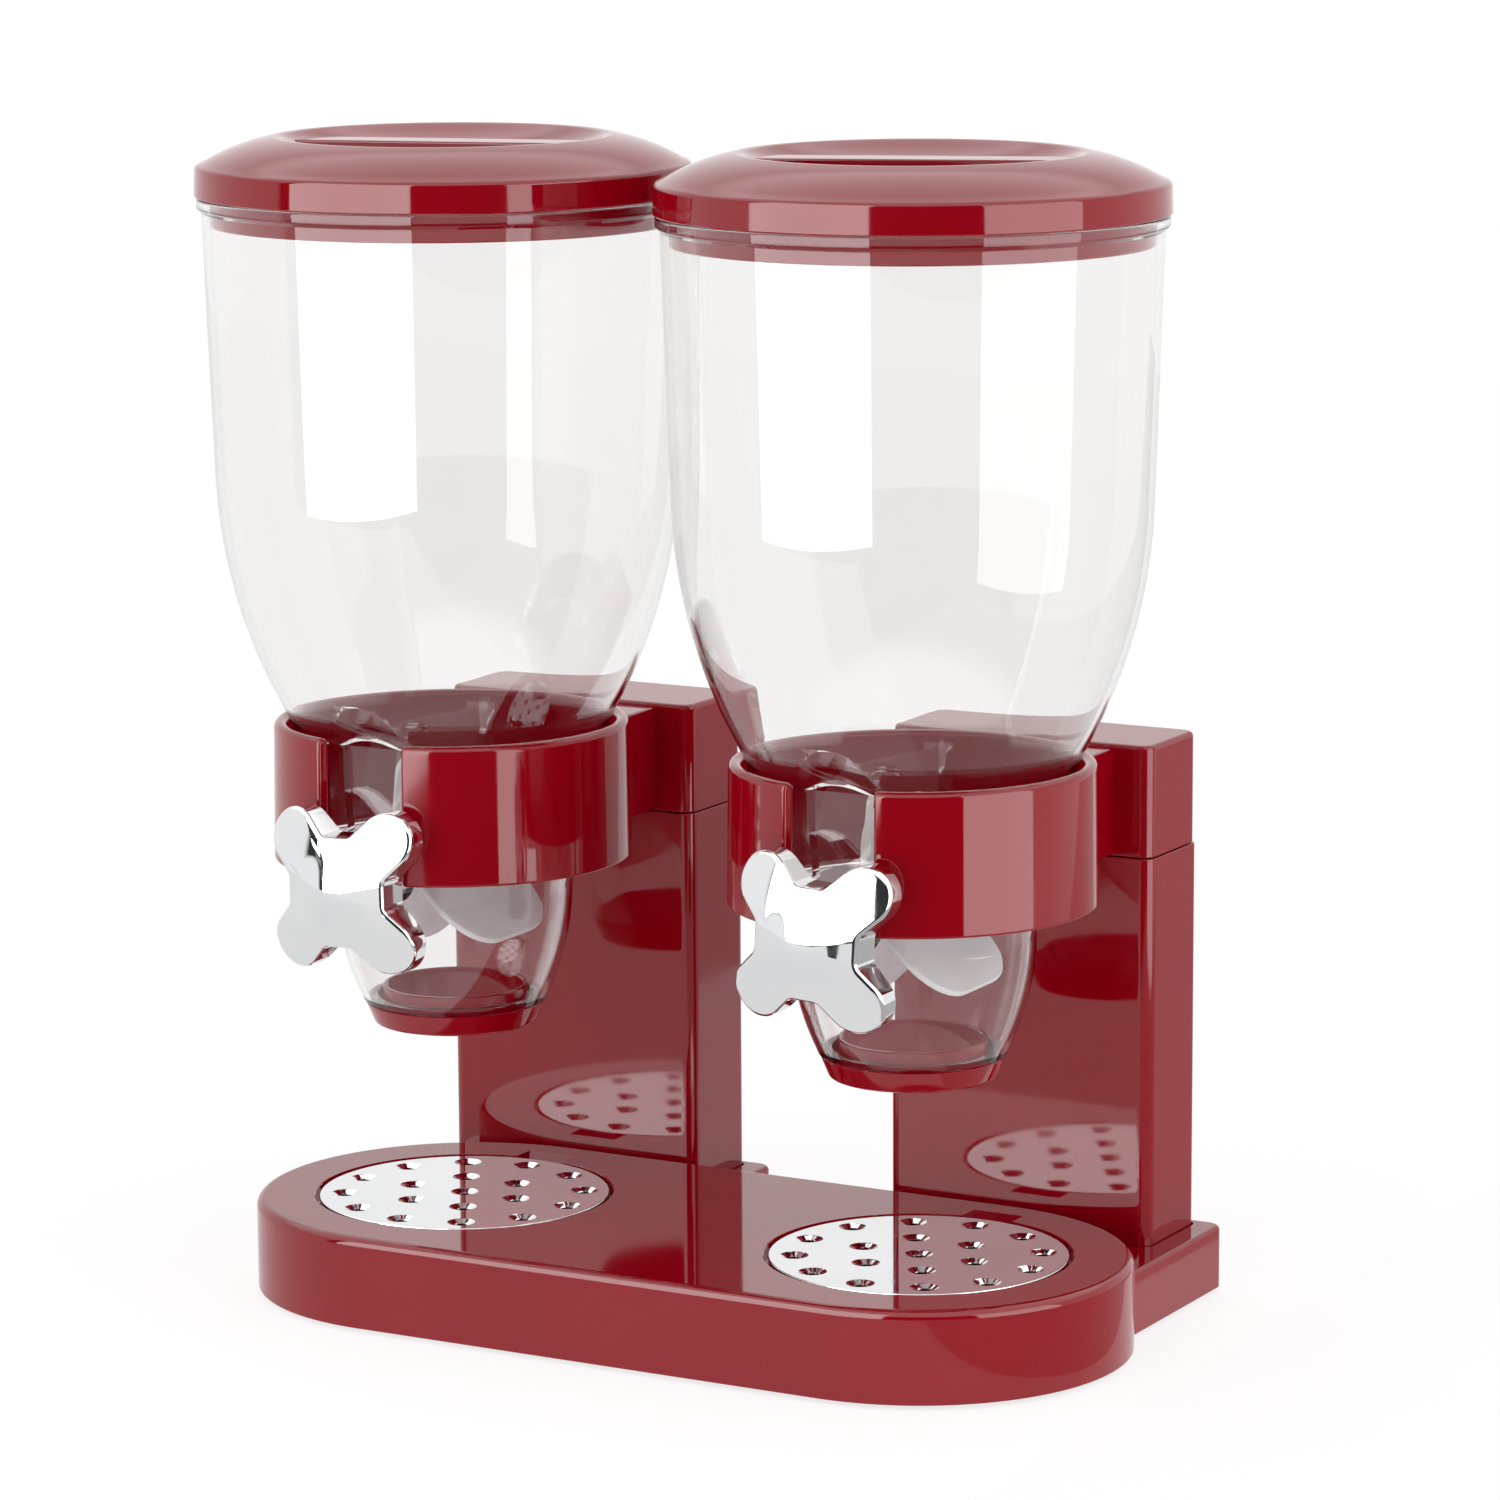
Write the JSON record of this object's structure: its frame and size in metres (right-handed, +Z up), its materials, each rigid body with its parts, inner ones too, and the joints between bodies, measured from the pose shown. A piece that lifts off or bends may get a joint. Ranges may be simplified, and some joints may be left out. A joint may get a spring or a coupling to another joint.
{
  "type": "cereal dispenser",
  "caption": "Countertop dry-food dispenser: clear canisters in collars on columns, turned by lobed knobs, over a deck with drip grilles.",
  "frame": {"origin": "middle of the footprint, on the surface it stands on", "axes": "+Z up, -Y towards the knobs and the user, +X to the user's right"},
  "size_m": [0.3292, 0.194, 0.3808],
  "materials": {
    "red_abs": "high gloss moulded ABS",
    "clear_san": "clear injection-moulded SAN",
    "chrome_plate": "bright chrome plating on ABS",
    "white_silicone": "translucent moulded silicone",
    "white_acetal": "natural acetal",
    "black_abs": "fine spark-eroded texture",
    "black_rubber": "moulded rubber",
    "zinc_steel": "zinc-plated or bright drawn steel"
  },
  "bodies": {
    "base": {"base_deck": "red_abs", "base_plate": "black_abs", "foot_1": "black_rubber", "foot_2": "black_rubber", "foot_3": "black_rubber", "foot_4": "black_rubber", "foot_5": "black_rubber", "foot_6": "black_rubber", "column_left": "red_abs", "collar_bracket_left": "red_abs", "column_screw_left_1": "zinc_steel", "column_screw_left_2": "zinc_steel", "bracket_screw_left_1": "zinc_steel", "bracket_screw_left_2": "zinc_steel", "column_right": "red_abs", "collar_bracket_right": "red_abs", "column_screw_right_1": "zinc_steel", "column_screw_right_2": "zinc_steel", "bracket_screw_right_1": "zinc_steel", "bracket_screw_right_2": "zinc_steel"},
    "grille_left": {"drip_grille_left": "chrome_plate"},
    "hopper_left": {"canister_left": "clear_san", "outlet_ring_left": "red_abs", "shaft_bush_left": "white_acetal"},
    "cover_left": {"lid_left": "red_abs", "lid_seal_left": "white_silicone"},
    "wheel_left": {"metering_wheel_left": "white_silicone", "wheel_shaft_left": "zinc_steel", "knob_left": "chrome_plate"},
    "grille_right": {"drip_grille_right": "chrome_plate"},
    "hopper_right": {"canister_right": "clear_san", "outlet_ring_right": "red_abs", "shaft_bush_right": "white_acetal"},
    "cover_right": {"lid_right": "red_abs", "lid_seal_right": "white_silicone"},
    "wheel_right": {"metering_wheel_right": "white_silicone", "wheel_shaft_right": "zinc_steel", "knob_right": "chrome_plate"}
  },
  "joints": [
    {"name": "grille_lift_left", "type": "slide", "parent": "base", "child": "grille_left", "axis": [0, 0, 1], "range_m": [0, 0.03]},
    {"name": "canister_lift_left", "type": "slide", "parent": "base", "child": "hopper_left", "axis": [0, 0, 1], "range_m": [0, 0.11]},
    {"name": "lid_lift_left", "type": "slide", "parent": "hopper_left", "child": "cover_left", "axis": [0, 0, 1], "range_m": [0, 0.06]},
    {"name": "knob_turn_left", "type": "hinge", "parent": "hopper_left", "child": "wheel_left", "pos_m": [-0.0846, -0.017, 0.1458], "axis": [0, 1, 0], "continuous": true},
    {"name": "grille_lift_right", "type": "slide", "parent": "base", "child": "grille_right", "axis": [0, 0, 1], "range_m": [0, 0.03]},
    {"name": "canister_lift_right", "type": "slide", "parent": "base", "child": "hopper_right", "axis": [0, 0, 1], "range_m": [0, 0.11]},
    {"name": "lid_lift_right", "type": "slide", "parent": "hopper_right", "child": "cover_right", "axis": [0, 0, 1], "range_m": [0, 0.06]},
    {"name": "knob_turn_right", "type": "hinge", "parent": "hopper_right", "child": "wheel_right", "pos_m": [0.0846, -0.017, 0.1458], "axis": [0, 1, 0], "continuous": true}
  ]
}
